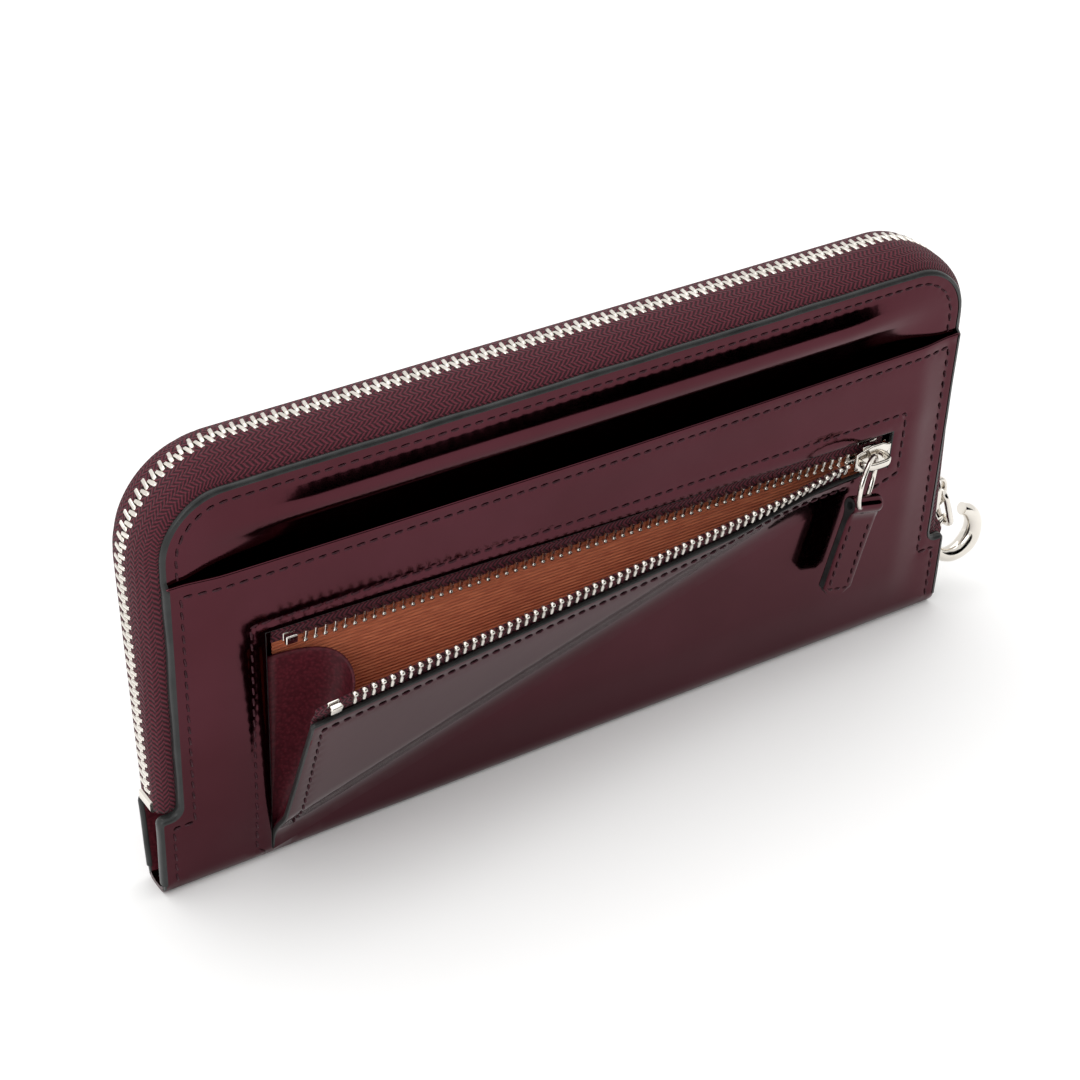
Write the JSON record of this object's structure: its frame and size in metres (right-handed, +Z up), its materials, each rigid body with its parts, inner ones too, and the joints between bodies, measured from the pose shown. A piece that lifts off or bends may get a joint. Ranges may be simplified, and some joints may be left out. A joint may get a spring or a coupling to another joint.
{
  "type": "long wallet",
  "caption": "Zip-around long wallet in glossy burgundy leather, with a slip pocket and an open zipped coin pocket on its front, standing on its spine.",
  "frame": {"origin": "centre of the spine's flat underside, on which the wallet stands", "axes": "+X along the wallet's length, -Y out of its front face, +Z up from the spine to the zipped top edge"},
  "size_m": [0.2134, 0.0348, 0.0978],
  "materials": {
    "glossy_leather": "high gloss",
    "matt_leather": "satin grain",
    "lining": "fine ribbed",
    "zip_tape": "woven",
    "zip_metal": "bright",
    "polished_metal": "polished"
  },
  "bodies": {
    "front_cover": {"spine": "glossy_leather", "front_base_panel": "glossy_leather", "front_overlay": "glossy_leather", "front_lining": "lining", "front_card_slots_left": "matt_leather", "front_card_slots_right": "matt_leather", "centre_divider": "matt_leather", "front_tape": "zip_tape", "front_teeth": "zip_metal", "main_bottom_stop": "zip_metal", "front_top_stop": "zip_metal", "left_gusset": "matt_leather", "right_gusset": "matt_leather", "coin_back_lining": "lining", "coin_upper_tape": "zip_tape", "coin_upper_teeth": "zip_metal", "coin_upper_clip": "zip_metal", "coin_end_stop": "zip_metal", "coin_gusset": "matt_leather"},
    "rear_cover": {"rear_panel": "glossy_leather", "rear_lining": "lining", "rear_card_slots_left": "matt_leather", "rear_card_slots_right": "matt_leather", "rear_tape": "zip_tape", "rear_teeth": "zip_metal", "rear_top_stop": "zip_metal"},
    "coin_flap": {"coin_flap": "glossy_leather", "coin_flap_lining": "lining", "coin_lower_tape": "zip_tape", "coin_lower_teeth": "zip_metal", "coin_lower_clip": "zip_metal"},
    "coin_slider": {"coin_slider": "polished_metal", "coin_slider_bridge": "polished_metal"},
    "coin_ring": {"coin_ring": "polished_metal"},
    "pull_tab": {"coin_pull_tab": "glossy_leather"},
    "main_slider": {"main_slider": "polished_metal", "main_slider_bridge": "polished_metal"},
    "main_link": {"main_link": "polished_metal"},
    "main_hoop": {"main_hoop": "polished_metal"}
  },
  "joints": [
    {"name": "cover_fold", "type": "hinge", "parent": "front_cover", "child": "rear_cover", "pos_m": [0, 0.0039, 0.0006], "axis": [-1, 0, 0], "range_deg": [0, 60], "deforming": ["left_gusset", "right_gusset"]},
    {"name": "coin_slide", "type": "slide", "parent": "front_cover", "child": "coin_slider", "axis": [-0.9998, -0.002, 0.0199], "range_m": [0, 0.1315], "deforming": ["coin_upper_teeth", "coin_flap", "coin_flap_lining", "coin_lower_tape", "coin_lower_teeth", "coin_lower_clip"]},
    {"name": "coin_flap_fold", "type": "hinge", "parent": "front_cover", "child": "coin_flap", "pos_m": [-0.0732, -0.00412, 0.00126], "axis": [0.9576, -0.0287, 0.2866], "range_deg": [-20, 0], "deforming": ["coin_gusset"]},
    {"name": "coin_ring_swing", "type": "hinge", "parent": "coin_slider", "child": "coin_ring", "pos_m": [0.071, -0.01219, 0.05075], "axis": [0.02, -0.0995, 0.9948], "range_deg": [-10, 55]},
    {"name": "pull_tab_swing", "type": "hinge", "parent": "coin_ring", "child": "pull_tab", "pos_m": [0.06639, -0.01453, 0.04277], "axis": [-0.819, -0.5724, -0.0408], "range_deg": [0, 38]},
    {"name": "main_slide", "type": "slide", "parent": "front_cover", "child": "main_slider", "axis": [0, 0, 1], "range_m": [0, 0.042], "deforming": ["front_teeth", "rear_teeth"]},
    {"name": "main_link_swing", "type": "hinge", "parent": "main_slider", "child": "main_link", "pos_m": [0.1012, 0, 0.0278], "axis": [0, -1, 0], "range_deg": [0, 95]},
    {"name": "main_hoop_swing", "type": "hinge", "parent": "main_link", "child": "main_hoop", "pos_m": [0.10401, 0, 0.018], "axis": [0, -1, 0], "range_deg": [0, 60]}
  ],
  "couplings": [
    {"joint": "coin_flap_fold", "follows": "coin_slide", "rad_per_m": -2.6545}
  ]
}
